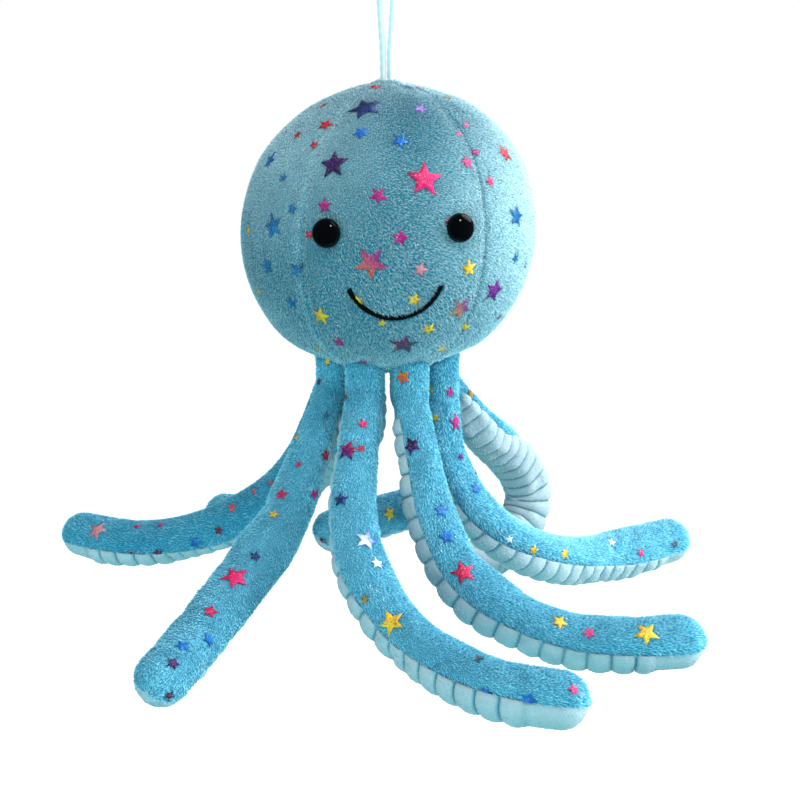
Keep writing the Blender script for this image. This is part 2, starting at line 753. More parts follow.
BLUE_PLUSH = plush_material("blue_plush", (20, 130, 162), (160, 236, 252), 0.9, 0.35, (206, 238, 250))
HEAD_PLUSH = plush_material("head_plush", (8, 116, 138), (206, 234, 240), 0.95, 0.9, (236, 242, 246))
WHITE_PLUSH = plush_material("white_plush", (46, 122, 142), (208, 213, 214), 1.0, 0.12, (240, 248, 250))
STAR_FOIL = foil_material()
EYE_PLASTIC = plain_material("eye_plastic", (4, 5, 7), 0.07, 300.0, 0.003 * MM, gloss=0.12)
WASHER_PLASTIC = plain_material("washer_plastic", (240, 238, 232), 0.5, 900.0, 0.02 * MM)
MOUTH_THREAD = plain_material("mouth_thread", (7, 7, 9), 0.6, 2500.0, 0.05 * MM, gloss=0.12)
SEWING_THREAD = plain_material("sewing_thread", (74, 150, 180), 0.7, 2500.0, 0.05 * MM)
CORD_FIBRE = plain_material("cord_fibre", (206, 232, 236), 0.8, 2600.0, 0.08 * MM)


# Smooth lines

def run_lengths(points):
    """How far along a line each of its points lies."""
    return np.concatenate([[0], np.cumsum(np.linalg.norm(np.diff(points, axis=0), axis=1))])


def read_between(wanted, stops, values):
    """Values of several columns, read between the stops where they are known."""
    return np.stack([np.interp(wanted, stops, column) for column in values.T], axis=1)


def bend(start, end, leaving, arriving):
    """Points of a smooth bend that leaves its start and arrives at its end along the given ways."""
    t = np.linspace(0, 1, CURVE_STEPS, endpoint=False)[:, None]
    return (start + leaving * t + (-3 * start + 3 * end - 2 * leaving - arriving) * t ** 2
            + (2 * start - 2 * end + leaving + arriving) * t ** 3)


def even_route(points, count):
    """Points at even distances along the centripetal curve through the given ones, and its length."""
    stops = np.array(points, float)
    ends = np.vstack([2 * stops[:1] - stops[1:2], stops, 2 * stops[-1:] - stops[-2:-1]])
    steps = np.sqrt(np.linalg.norm(np.diff(ends, axis=0), axis=1))
    bends = []
    for k in range(len(stops) - 1):
        p0, p1, p2, p3 = ends[k:k + 4]
        d0, d1, d2 = steps[k:k + 3]
        leaving = ((p1 - p0) / d0 - (p2 - p0) / (d0 + d1) + (p2 - p1) / d1) * d1
        arriving = ((p2 - p1) / d1 - (p3 - p1) / (d1 + d2) + (p3 - p2) / d2) * d1
        bends.append(bend(p1, p2, leaving, arriving))
    dense = np.vstack(bends + [stops[-1:]])
    gone = run_lengths(dense)
    return read_between(np.linspace(0, gone[-1], count), gone, dense), gone[-1]


def evenly(places, normals, pitch):
    """A line of places and normals again, at an even pitch."""
    gone = run_lengths(places)
    even = np.linspace(0, gone[-1], round(gone[-1] / pitch) + 1)
    return read_between(even, gone, places), unit(read_between(even, gone, normals))


# Hanging cord

def twisted_cord_tree():
    """A cord of three strands laid together: a lobed section swept and turned along the curve."""
    tree, given, result = new_tree("twisted_cord", [
        ("Radius", "Float", CORD_DIAMETER / 2), ("Steps", "Int", 260), ("Turns", "Float", 26.0),
        ("Lobes", "Int", 3), ("Groove", "Float", 0.14), ("Finish", "Material", None)])
    even = put(tree, "GeometryNodeResampleCurve", Curve=given["Geometry"], Count=given["Steps"])
    turn = put(tree, "GeometryNodeSplineParameter") * given["Turns"] * (math.tau / 3)
    tilted = put(tree, "GeometryNodeSetCurveTilt", Curve=even, Tilt=turn)
    ring = put(tree, "GeometryNodeCurvePrimitiveCircle", Resolution=CORD_SECTION_POINTS,
               Radius=given["Radius"])
    angle = put(tree, "GeometryNodeInputIndex") * (math.tau / CORD_SECTION_POINTS)
    half_groove = given["Groove"] * 0.5
    size = reckon("COSINE", angle * given["Lobes"]) * half_groove + (1.0 - half_groove)
    place = put(tree, "GeometryNodeInputPosition")
    lobed = put(tree, "GeometryNodeSetPosition", Geometry=ring, Position=place * size)
    tube = put(tree, "GeometryNodeCurveToMesh", Curve=tilted, Profile_Curve=lobed, Fill_Caps=True)
    finish_tree(tree, tube, given["Finish"], result)
    return tree


def make_cord():
    """The loop: out of the crown, round its top bend and back down the other side."""
    route = CORD_HALF_ROUTE + [CORD_TOP] + [(-x, y, z) for x, y, z in reversed(CORD_HALF_ROUTE)]
    path = even_route(route, CORD_POINTS)[0]
    data = bpy.data.curves.new("cord_route", "CURVE")
    data.dimensions = "3D"
    spline = data.splines.new("POLY")
    spline.points.add(len(path) - 1)
    for point, place in zip(spline.points, path):
        point.co = (*place, 1)
    cord = link("twisted_loop", grown_alone(link("cord_route", data), twisted_cord_tree(), Finish=CORD_FIBRE))
    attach(cord, "cord")
    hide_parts("hang_loop")


make_cord()


# Head shape

def head_outline():
    """Share of the outline from crown to base, and its distance from the axis and its height."""
    stops = np.array([(CROWN_HOLE_RADIUS, HEAD_RADIUS * CROWN_HEIGHT_SHARE)]
                     + [(HEAD_RADIUS * out, HEAD_RADIUS * up) for out, up in HEAD_OUTLINE_SHARES])
    ends = np.vstack([stops[:1], stops, stops[-1:]])
    ways = (ends[2:] - ends[:-2]) / 2
    bends = [bend(stops[k], stops[k + 1], ways[k], ways[k + 1]) for k in range(len(stops) - 1)]
    dense = np.vstack(bends + [stops[-1:]])
    gone = run_lengths(dense)
    return gone / gone[-1], dense


OUTLINE_SHARE, OUTLINE = head_outline()
BASE_LEVEL = HEAD_CENTRE.z + OUTLINE[-1, 1]


def head_grid(depth):
    """The ball as a grid of rows from crown to base and columns round the five gores, their seams sunk."""
    shares = np.linspace(0, 1, HEAD_ROWS + 1)
    out, up = read_between(shares, OUTLINE_SHARE, OUTLINE).T
    along = unit(np.stack([np.gradient(out), np.gradient(up)], axis=1))
    columns = np.arange(len(GORES) * GORE_COLUMNS)
    side = (columns % GORE_COLUMNS) / GORE_COLUMNS * 2 - 1
    middle = columns // GORE_COLUMNS * math.tau / len(GORES)
    turn = middle + side * math.pi / len(GORES) + HEAD_TURN
    sunk = depth + SEAM_SINK * side[None, :] ** 4 * np.sin(math.pi * shares)[:, None]
    sunk = sunk + CROWN_SINK * (1 - smooth_share(shares / CROWN_SINK_SHARE))[:, None]
    radius = out[:, None] + along[:, 1:2] * sunk
    height = up[:, None] - along[:, :1] * sunk
    grid = np.stack([radius * np.sin(turn), -radius * np.cos(turn), height], axis=2)
    loose = smooth_share(shares / LEAN_START_SHARE) * smooth_share((1 - shares) / LEAN_START_SHARE)
    grid[..., 0] += (math.tan(math.radians(LEAN_DEGREES)) * grid[..., 2] + LEAN_SHIFT) * loose[:, None]
    return grid + np.array(HEAD_CENTRE)


def surface_tree(grid, closed=True):
    """A grid as a surface that can be asked for its nearest point or a ray's first hit."""
    faces = grid_faces(*grid.shape[:2], closed)
    return BVHTree.FromPolygons([tuple(place) for place in grid.reshape(-1, 3)], faces)


HEAD_SURFACE = surface_tree(head_grid(HEAD_DEPTH))


def face_direction(side, level):
    """Out from the head's centre, at angles to the side of the face's middle and above its level."""
    side, level = math.radians(side), math.radians(level)
    out = Vector((math.cos(level) * math.sin(side), -math.cos(level) * math.cos(side), math.sin(level)))
    return Matrix.Rotation(HEAD_TURN, 3, "Z") @ Matrix.Rotation(-FACE_TILT, 3, "Y") @ out


def on_head(surface, out):
    """Where a direction from the head's centre leaves a surface of the head, and the normal there."""
    return surface.ray_cast(HEAD_CENTRE + out * 2 * HEAD_RADIUS, -out)[:2]


# Arm shape

def level_way(degrees):
    """The level way that lies so far round from straight ahead of the face."""
    angle = math.radians(degrees)
    return np.array((math.sin(angle), -math.cos(angle), 0))


class Arm:
    """An arm's middle line with the frame of each ring."""

    def __init__(self, name):
        side, turn, self.level, self.facing, shares = ARMS[name]
        self.name = name
        self.pivot = level_way(side) * ARM_RING_RADIUS + np.array((0, 0, ARM_ROOT_LEVEL))
        route = [(0, 0, 0)] + [tuple(ARM_LENGTH * value for value in share) for share in shares]
        self.line, self.length = even_route(route, ARM_LINE_POINTS)
        self.root_facing = level_way(side + turn)

    def frames(self, distances):
        """The middle of each ring, and its ways across and up."""
        share = np.clip(distances / self.length, 0, 1)
        spots = np.linspace(0, 1, len(self.line))
        centre = read_between(share, spots, self.line) + self.pivot
        along = unit(read_between(share, spots, unit(np.gradient(self.line, axis=0))))
        level = smooth_share(share / self.level)[:, None]
        facing = self.root_facing * (1 - level) + np.array((0, 0, self.facing)) * level
        top = unit(facing - along * (facing * along).sum(1, keepdims=True))
        return centre, np.cross(along, top), top

    def grid(self, depth):
        """Rings from where the arm is sewn to the head, round the middle line, to its round tip."""
        tube = self.length - ARM_END_RADIUS
        body = np.linspace(0, tube, round(tube / ARM_RING_STEP) + 1)
        tip = np.radians(np.linspace(0, 90, ARM_TIP_RINGS + 1)[1:])
        distances = np.concatenate([body, tube + (ARM_END_RADIUS - depth) * np.sin(tip)])
        share = body / self.length
        radii = ARM_ROOT_RADIUS + (ARM_END_RADIUS - ARM_ROOT_RADIUS) * smooth_share(share / ARM_SWELL_SHARE)
        for middle, half_width, growth in ARM_SWELLS.get(self.name, []):
            radii = radii + growth * smooth_share(1 - np.abs(share - middle) / half_width)
        radii = np.maximum(np.concatenate([radii, ARM_END_RADIUS * np.cos(tip)]) - depth, ARM_LEAST_RADIUS)
        centre, across, top = self.frames(distances)
        degrees = np.arange(ARM_SIDES) / ARM_SIDES * 360
        sunk = sum(np.exp(-(((degrees - seam + 180) % 360 - 180) / ARM_SEAM_SPREAD_DEGREES) ** 2)
                   for seam in SEAM_DEGREES)
        ring = radii[:, None] - sunk * ARM_SEAM_SINK * np.minimum(radii / ARM_ROOT_RADIUS, 1)[:, None]
        angle = np.radians(self.wandered(degrees, distances / self.length))
        rings = (centre[:, None] + across[:, None] * (ring * np.cos(angle))[..., None]
                 + top[:, None] * (ring * np.sin(angle))[..., None])
        root = rings[0]
        sewn = np.array([self.on_base(point) for point in root])
        shoulder = np.array([root + (sewn - root) * step for step in SHOULDER_STEPS])
        heights = -np.array(SHOULDER_STEPS) * np.linalg.norm(sewn - root, axis=1).mean()
        return np.concatenate([heights, distances]), np.concatenate([shoulder, rings])

    def wandered(self, degrees, shares):
        """The angle of each column of the grid at each ring, once the seams have wandered."""
        stops = np.array(WANDERING_SEAMS[self.name], float)
        first, second = (np.interp(shares, stops[:, 0], stops[:, k])[:, None] for k in (1, 2))
        upper = SEAM_DEGREES[1] - SEAM_DEGREES[0]
        past = (degrees - SEAM_DEGREES[0]) % 360
        return np.where(past <= upper, first + past / upper * (second - first),
                        second + (past - upper) / (360 - upper) * (first + 360 - second))

    def on_base(self, point):
        """Where the head's underside is above a point of the arm's root."""
        place = HEAD_SURFACE.ray_cast(Vector(point), Vector((0, 0, 1)))[0]
        inside = math.hypot(point[0], point[1]) < ARM_RING_RADIUS
        level = BASE_LEVEL if inside or place is None else min(place.z, BASE_LEVEL + ROOT_RISE)
        return (point[0], point[1], level + ROOT_OVERLAP)


# Stuffing by cloth simulation

def stuffed(name, grid, pinned):
    """Fills a closed tube of cloth by pressure, held at its seams and ends, and gives back its grid."""
    rows, columns = grid.shape[:2]
    first, last = rows * columns, rows * columns + 1
    bottom = first - columns
    faces = grid_faces(rows, columns, True)
    faces += [(first, c, (c + 1) % columns) for c in range(columns)]
    faces += [(last, bottom + (c + 1) % columns, bottom + c) for c in range(columns)]
    places = np.vstack([grid.reshape(-1, 3), grid[0].mean(0)[None], grid[-1].mean(0)[None]])
    bag = new_piece(name, places, faces)
    held = bag.vertex_groups.new(name="seams")
    held.add([int(k) for k in np.flatnonzero(pinned.reshape(-1))] + [first, last], 1.0, "REPLACE")
    cloth = bag.modifiers.new("stuffing", "CLOTH")
    cloth.settings.use_pressure = True
    cloth.settings.uniform_pressure_force = STUFFING_PRESSURE
    cloth.settings.effector_weights.gravity = 0
    cloth.settings.vertex_group_mass = held.name
    cloth.settings.shrink_min = -CLOTH_SLACK
    cloth.settings.tension_stiffness = CLOTH_STRETCH_STIFFNESS
    cloth.settings.compression_stiffness = CLOTH_STRETCH_STIFFNESS
    cloth.settings.bending_stiffness = CLOTH_BENDING_STIFFNESS
    cloth.point_cache.frame_start = 1
    cloth.point_cache.frame_end = STUFFING_FRAMES
    for step in range(1, STUFFING_FRAMES + 1):
        scene.frame_set(step)
    ready = bag.evaluated_get(bpy.context.evaluated_depsgraph_get())
    filled = points_of(ready.data)
    bpy.data.objects.remove(bag)
    scene.frame_set(1)
    return filled[:rows * columns].reshape(grid.shape)


def points_of(mesh):
    """A mesh's points as an array."""
    places = np.zeros(len(mesh.vertices) * 3, np.float32)
    mesh.vertices.foreach_get("co", places)
    return places.astype(float).reshape(-1, 3)


def capped(start, filled, cap):
    """The filled cloth, with no point further from where it started than the cap."""
    move = filled - start
    far = np.linalg.norm(move, axis=-1, keepdims=True)
    return start + move * np.minimum(1, cap / np.maximum(far, 1e-9))


def finer(rows, times, closed=False):
    """More rows between the given ones, on a smooth curve through them."""
    if closed:
        before, here, after, beyond = (np.roll(rows, shift, 0) for shift in (1, 0, -1, -2))
    else:
        ends = np.concatenate([2 * rows[:1] - rows[1:2], rows, 2 * rows[-1:] - rows[-2:-1]])
        before, here, after, beyond = ends[:-3], ends[1:-2], ends[2:-1], ends[3:]
    found = []
    for k in range(times):
        t = k / times
        found.append(((-t + 2 * t ** 2 - t ** 3) * before + (2 - 5 * t ** 2 + 3 * t ** 3) * here
                      + (t + 4 * t ** 2 - 3 * t ** 3) * after + (-t ** 2 + t ** 3) * beyond) / 2)
    fine = np.stack(found, axis=1).reshape(-1, *rows.shape[1:])
    return fine if closed else np.concatenate([fine, rows[-1:]])


def finer_grid(grid, along, around):
    return finer(finer(grid, along).swapaxes(0, 1), around, closed=True).swapaxes(0, 1)


def grid_normals(grid, closed=False):
    """Outward normals of a grid that runs down its rows and across or round its columns."""
    down = np.gradient(grid, axis=0)
    across = np.roll(grid, -1, 1) - np.roll(grid, 1, 1) if closed else np.gradient(grid, axis=1)
    normals = unit(np.cross(down, across))
    normals[0], normals[-1] = normals[1], normals[-2]
    return normals


# Panels

def lay_down(mesh, name, values, kind="FLOAT", domain="POINT"):
    """Writes values on a mesh under a name."""
    attribute = mesh.attributes.new(name, kind, domain)
    key = {"FLOAT": "value", "FLOAT_VECTOR": "vector", "FLOAT_COLOR": "color"}[kind]
    attribute.data.foreach_set(key, np.asarray(values, np.float32).ravel())


def lay_map(mesh, corners):
    """The piece's own map, one place for each corner of each face."""
    mesh.uv_layers.new(name="OFBake").data.foreach_set("uv", np.asarray(corners, np.float32).ravel())


class Panel:
    """One cut piece of plush: the body that it rides on, the nodes that it stands for, the grid of its
    outside, the way its pile lies, its pile and finish, and how pale its pile looks at each point."""

    def __init__(self, name, body, nodes, grid, brush, pile, finish, tone=None):
        self.name, self.body, self.nodes = name, body, nodes
        self.grid, self.pile, self.finish = grid, pile, finish
        self.normals = grid_normals(grid)
        self.brush = unit(brush)
        self.surface = surface_tree(grid, closed=False)
        self.stars = []
        self.bare_spots = []
        self.tone = np.full(grid.shape[:2], 0.5) if tone is None else tone

    def cloth(self):
        """The panel as a closed sheet of some thickness."""
        rows, columns = self.grid.shape[:2]
        count = rows * columns
        cells = grid_faces(rows, columns, False)
        faces = cells + [[count + k for k in reversed(cell)] for cell in cells]
        places = [self.map_place(k, OUTSIDE_BAND) for cell in cells for k in cell]
        places += [self.map_place(k, LINING_BAND) for cell in cells for k in reversed(cell)]
        bottom = count - columns
        rim = list(range(columns)) + [r * columns + columns - 1 for r in range(1, rows)]
        rim += [bottom + c for c in range(columns - 2, -1, -1)]
        rim += [r * columns for r in range(rows - 2, -1, -1)]
        for k, (here, there) in enumerate(zip(rim[:-1], rim[1:])):
            faces.append([here, there, count + there, count + here])
            first, last = (MAP_MARGIN + MAP_WIDTH * n / (len(rim) - 1) for n in (k, k + 1))
            low, high = EDGE_BAND
            places += [(first, low), (last, low), (last, high), (first, high)]
        lining = self.grid - self.normals * CLOTH_THICKNESS
        sheet = new_piece(self.name, np.vstack([self.grid.reshape(-1, 3), lining.reshape(-1, 3)]), faces)
        lay_map(sheet.data, places)
        lay_down(sheet.data, "brush", np.tile(self.brush.reshape(-1, 3), (2, 1)), "FLOAT_VECTOR")
        lay_down(sheet.data, "outer", np.arange(len(faces)) < len(cells), domain="FACE")
        lay_down(sheet.data, "rise", np.full(2 * count, CLOTH_RISE))
        lay_down(sheet.data, "tone", np.tile(self.tone.ravel(), 2))
        sheet.data.polygons.foreach_set("use_smooth", [True] * len(faces))
        return sheet

    def map_place(self, k, band):
        """Where a point of the grid lies in a band of the panel's map."""
        rows, columns = self.grid.shape[:2]
        r, c = divmod(k, columns)
        return (MAP_MARGIN + MAP_WIDTH * c / (columns - 1), band[0] + (band[1] - band[0]) * r / (rows - 1))


def head_panels():
    """The head's five gores, stuffed, hollowed round the eyes and grooved at their seams."""
    start, goal = head_grid(HEAD_START_DEPTH), head_grid(HEAD_DEPTH)
    seams = np.zeros(start.shape[:2], bool)
    seams[:, ::GORE_COLUMNS] = True
    seams[[0, -1]] = True
    start[seams] = goal[seams]
    filled = capped(start, stuffed("head_bag", start, seams), HEAD_CAP)
    fine = finer_grid(filled, FINER_HEAD, FINER_HEAD)
    normals = grid_normals(fine, closed=True)
    for side in (-EYE_SIDE, EYE_SIDE):
        far = np.linalg.norm(fine - np.array(eye_seat(side)[0]), axis=-1)
        fine -= normals * (EYE_DENT * (1 - smooth_share((far - DENT_FLAT) / DENT_SLOPE)))[..., None]
    columns = GORE_COLUMNS * FINER_HEAD
    groove = SEAM_GROOVE * np.sin(np.linspace(0, math.pi, len(fine)))
    fine[:, ::columns] -= normals[:, ::columns] * groove[:, None, None]
    side = np.linspace(-1, 1, columns + 1)
    past = np.maximum((np.abs(side) - 1) * columns / 2 + PARTING_COLUMNS, 0)
    parting = (np.sign(side) * past / PARTING_COLUMNS)[None, :, None]
    panels = []
    for k, name in enumerate(GORES):
        chosen = np.arange(k * columns, (k + 1) * columns + 1) % fine.shape[1]
        grid = fine[:, chosen]
        sideways = np.cross(np.array((0, 0, 1.0)), normals[:, chosen])
        brush = sideways * (BRUSH_SIDEWAYS - SEAM_PARTING * parting) - np.array((0, 0, BRUSH_DOWN))
        drawn_in = 1 - smooth_share(np.hypot(grid[..., 0], grid[..., 1]) / DRAWN_IN_REACH)[..., None]
        brush = unit(brush) * (1 - drawn_in) - unit(np.gradient(grid, axis=0)) * drawn_in * DRAWN_IN_PULL
        nodes = [f"{name}_panel"] + (["head_filling"] if name == "face" else [])
        panels.append(Panel(f"plush_{name}", "head", nodes, grid, brush, HEAD_PILE, HEAD_PLUSH,
                            brushed_tone(grid)))
    return panels


def brushed_tone(grid):
    """How pale the pile looks over the head, by the way that it was last stroked: palest up on one side."""
    out = unit(grid - np.array(HEAD_CENTRE))
    tone = np.full(grid.shape[:2], HEAD_TONE)
    for way, reach, change in STROKED:
        near = np.linalg.norm(out - np.array(Vector(way).normalized()), axis=2)
        tone += change * (1 - smooth_share(near / reach))
    return tone


def base_panel():
    """The round that closes the head underneath, sagging a little between the roots of the arms."""
    radii = np.linspace(BASE_HOLE_RADIUS, BASE_DISC_RADIUS, BASE_RINGS)
    turns = np.linspace(0, math.tau, BASE_TURNS + 1)[::-1]
    level = BASE_LEVEL - BASE_DISC_SAG * (1 - (radii / BASE_DISC_RADIUS) ** 2)
    grid = np.stack([radii[:, None] * np.sin(turns), -radii[:, None] * np.cos(turns),
                     np.repeat(level[:, None], len(turns), axis=1)], axis=2)
    brush = np.broadcast_to(np.array((0.5, -1.0, 0.0)), grid.shape)
    return Panel("plush_base", "head", ["base_disc"], grid, brush, ARM_PILE, BLUE_PLUSH)


def ribs_tree():
    """Gathers a panel into ribs across the arm, by the distance along it that its points carry."""
    tree, given, result = new_tree("gathered_ribs", [
        ("Pitch", "Float", RIB_PITCH), ("Height", "Float", RIB_HEIGHT), ("Sink", "Float", RIB_SINK),
        ("First", "Float", RIB_START), ("Last", "Float", 0.17), ("Fade", "Float", RIB_FADE),
        ("Finish", "Material", None)])
    along, fullness = named(tree, "distance"), named(tree, "fullness")
    wave = reckon("FRACT", (along - given["First"]) / given["Pitch"]) * 2.0 - 1.0
    crest = reckon("SQRT", reckon("MAXIMUM", 0.0, 1.0 - wave * wave)) - given["Sink"]
    start, end = (put(tree, "ShaderNodeMapRange", {"interpolation_type": "SMOOTHSTEP"}, Value=value,
                      From_Max=given["Fade"]) for value in (along - given["First"], given["Last"] - along))
    raised = named(tree, "outward", "FLOAT_VECTOR") * (crest * given["Height"] * (start * end) * fullness)
    moved = put(tree, "GeometryNodeSetPosition", Geometry=given["Geometry"], Offset=raised)
    finish_tree(tree, moved, given["Finish"], result)
    return tree


def gathered(grid, distances, last, pitch, ribs):
    """A panel's grid with its ribs raised, and how far each point was raised or sunk."""
    rows, columns = grid.shape[:2]
    normals = grid_normals(grid)
    sheet = new_piece("gathering", grid.reshape(-1, 3))
    lay_down(sheet.data, "distance", np.repeat(distances, columns))
    lay_down(sheet.data, "outward", normals, "FLOAT_VECTOR")
    side = np.abs(np.linspace(-1, 1, columns))
    lay_down(sheet.data, "fullness", np.tile(1 - RIB_EDGE_FLATTENING * side ** 8, rows))
    mesh = grown_alone(sheet, ribs, Last=last, Pitch=pitch, Finish=WHITE_PLUSH)
    raised = points_of(mesh).reshape(grid.shape)
    return raised, ((raised - grid) * normals).sum(2)


def arm_panels(arm, ribs):
    """An arm's printed upper panel and its pale gathered one."""
    distances, start = arm.grid(ARM_START_DEPTH)
    goal = arm.grid(ARM_DEPTH)[1]
    step = 360 // ARM_SIDES
    upper, under = (360 + SEAM_DEGREES[0]) // step, SEAM_DEGREES[1] // step
    seams = np.zeros(start.shape[:2], bool)
    seams[:, [under, upper]] = True
    seams[:len(SHOULDER_STEPS) + 1], seams[-1] = True, True
    start[seams] = goal[seams]
    filled = capped(start, stuffed(f"{arm.name}_bag", start, seams), ARM_CAP)

    def cut(kind, first, until):
        """The stuffed cloth from one seam to the next, made finer, and how far along the arm its rows lie."""
        along, around = FINER_ARM[kind]
        fine = finer_grid(filled, along, around)
        columns = np.arange(first * around, until * around + 1) % fine.shape[1]
        return fine[:, columns], finer(distances, along)

    body = f"arm_{arm.name}"
    top, _ = cut("plush", upper, under + ARM_SIDES)
    tone = np.full(top.shape[:2], ARM_TONES.get(arm.name, ARM_TONE))
    panels = [Panel(f"{body}_plush", body, [f"{body}_top", f"{body}_filling"], top, np.gradient(top, axis=0),
                    ARM_PILE, BLUE_PLUSH, tone)]
    plain, far = cut("ribbed", under, upper)
    last = arm.length - ARM_END_RADIUS - PLAIN_TIP
    ribbed, relief = gathered(plain, far, last, RIB_PITCHES.get(arm.name, RIB_PITCH), ribs)
    sunk = np.maximum(RIB_SHADED_SHARE - relief / RIB_HEIGHT, 0)
    tone = RIB_TONE - GROOVE_SHADE * sunk * smooth_share((last - far) / RIB_FADE)[:, None]
    panels.append(Panel(f"{body}_ribbed", body, [f"{body}_underside"], ribbed, np.gradient(ribbed, axis=0),
                        RIB_PILE, WHITE_PLUSH, tone))
    return panels


# Foil stars

def foil_patch(surface, place, up, side, outline, lift):
    """A thin closed patch of foil that lies on the cloth: its corners, its faces and its own map."""
    count = len(outline)
    flat = [(0.0, 0.0)] + [(x * share, y * share) for share in (0.5, 1.0) for x, y in outline]
    reach = max(math.hypot(x, y) for x, y in outline)
    tops, lows = [], []
    for x, y in flat:
        near, normal, _, _ = surface.find_nearest(place + side * x + up * y)
        tops.append(near + normal * lift)
        lows.append(near + normal * (lift - FOIL_THICKNESS))
    low = len(flat)
    faces = []
    for k in range(count):
        n = (k + 1) % count
        inner, outer, next_inner, next_outer = 1 + k, 1 + count + k, 1 + n, 1 + count + n
        faces += [(0, inner, next_inner), (inner, outer, next_outer, next_inner)]
        faces += [(low, low + next_inner, low + inner)]
        faces += [(low + inner, low + next_inner, low + next_outer, low + outer)]
        faces += [(outer, low + outer, low + next_outer, next_outer)]
    spots = [(share * x / reach, share * y / reach) for share in (1, FOIL_UNDERSIDE_SHARE) for x, y in flat]
    return tops + lows, faces, spots


def star_outline(size, chance):
    """Five tips and five notches, with a point between each two, a little uneven at the edge."""
    outline = []
    notch, notch_turn = STAR_NOTCH_SHARE, math.radians(36)
    for k in range(20):
        angle = math.radians(90 + 18 * k)
        off_tip = math.radians([0, 18, 36, 18][k % 4])
        reach = notch * math.sin(notch_turn) / (math.sin(off_tip) + notch * math.sin(notch_turn - off_tip))
        reach *= size * chance.uniform(0.96, 1.03)
        outline.append((reach * math.cos(angle), reach * math.sin(angle)))
    return outline


class Star:
    """A star at a place on a panel: its size from the middle to a tip, its foil, how it is turned, and which
    way from its first tip its second colour lies."""

    def __init__(self, place, normal, size, foil, up, outline, fade=None):
        self.place, self.size, self.foil, self.outline, self.fade = place, size, foil, outline, fade
        self.up = (up - normal * up.dot(normal)).normalized()
        self.side = self.up.cross(normal)


def star_points(panel):
    """The panel's stars as loose points that say how large each is and how it is turned."""
    stars = [star for star in panel.stars if star.size > 3 * FLAKE_RADIUS]
    if not stars:
        return None
    points = new_piece("star_points", [star.place for star in stars])
    lay_down(points.data, "size", [star.size for star in stars])
    lay_down(points.data, "up", [star.up for star in stars], "FLOAT_VECTOR")
    lay_down(points.data, "side", [star.side for star in stars], "FLOAT_VECTOR")
    return points


def bare_points(panel):
    """Places on the panel where something else covers the pile, each with how far it reaches."""
    if not panel.bare_spots:
        return None
    points = new_piece("bare_points", [place for place, _ in panel.bare_spots])
    lay_down(points.data, "size", [reach for _, reach in panel.bare_spots])
    return points


def foil_mesh(panel, chance):
    """All of a panel's stars and flakes as one mesh, each in its own cell of the panel's map."""
    if not panel.stars:
        return None
    places, faces, corners, tints = [], [], [], []
    cell = MAP_WIDTH / len(panel.stars)
    middle = (STAR_BAND[0] + STAR_BAND[1]) / 2
    half = (cell * STAR_HALF_CELL, (STAR_BAND[1] - STAR_BAND[0]) * STAR_HALF_CELL)
    for k, star in enumerate(panel.stars):
        lift = STAR_LIFT + chance.uniform(-0.1, 0.15) * MM
        spots, patch, own = foil_patch(panel.surface, star.place, star.up, star.side, star.outline, lift)
        base = len(places)
        places += spots
        turn = chance.uniform(0, math.tau)
        if star.fade is not None:
            turn = math.radians(90 - star.fade)
        first, second = (np.array(light_of(screen)) for screen in FOILS[star.foil])
        for x, y in own:
            share = FADE_MIDDLE + FADE_SLOPE * (x * math.cos(turn) + y * math.sin(turn))
            share = min(max(share + chance.uniform(-FADE_CHANCE, FADE_CHANCE), 0), 1)
            tints.append(first * (1 - share) + second * share)
        left = MAP_MARGIN + cell * (k + 0.5)
        for face in patch:
            faces.append([base + n for n in face])
            corners += [(left + half[0] * own[n][0], middle + half[1] * own[n][1]) for n in face]
    foils = new_piece("foils", places, faces)
    lay_map(foils.data, corners)
    lay_down(foils.data, "foil", tints, "FLOAT_COLOR")
    foils.data.materials.append(STAR_FOIL)
    foils.data.polygons.foreach_set("use_smooth", [k % 5 < 4 for k in range(len(faces))])
    return foils


def seen_at(panels, across, down):
    """The panel that a pixel of the photograph shows, where, its normal there, and how far away it is."""
    out = sight_line(across, down)
    best = None
    for panel in panels:
        place, normal, _, far = panel.surface.ray_cast(Vector(CAMERA_PLACE), out)
        if place is not None and (best is None or far < best[3]):
            best = (panel, place, normal, far)
    return best


def hidden_from_camera(panels, place, normal):
    out = place - Vector(CAMERA_PLACE)
    if out.normalized().dot(normal) > LIMB_MARGIN:
        return True
    found = (panel.surface.ray_cast(Vector(CAMERA_PLACE), out.normalized())[3] for panel in panels)
    return any(far is not None and far < out.length - HIDDEN_MARGIN for far in found)


def print_seen_stars(panels, printed, chance):
    """Stars where the photograph shows them, each moved to the nearest blue panel if it falls past a seam."""
    taken = []
    for foil, seen in STARS_SEEN.items():
        for across, down, width, *turned in seen:
            found = seen_at(panels, across, down)
            if found is None:
                continue
            panel, place, normal, far = found
            if panel not in printed:
                near = [(other.surface.find_nearest(place), other) for other in printed]
                (place, normal, _, off), panel = min(near, key=lambda item: item[0][3])
                if off > STAR_MOVE:
                    continue
            size = width * far / FOCAL_PIXELS / STAR_WIDTH_IN_RADII
            degrees = turned[0] if turned else chance.uniform(-36, 36)
            fade = turned[1] - degrees if len(turned) > 1 else None
            up = Vector((math.sin(math.radians(degrees)), 0, math.cos(math.radians(degrees))))
            panel.stars.append(Star(place, normal, size, foil, up, star_outline(size, chance), fade))
            taken.append(place)
    return taken


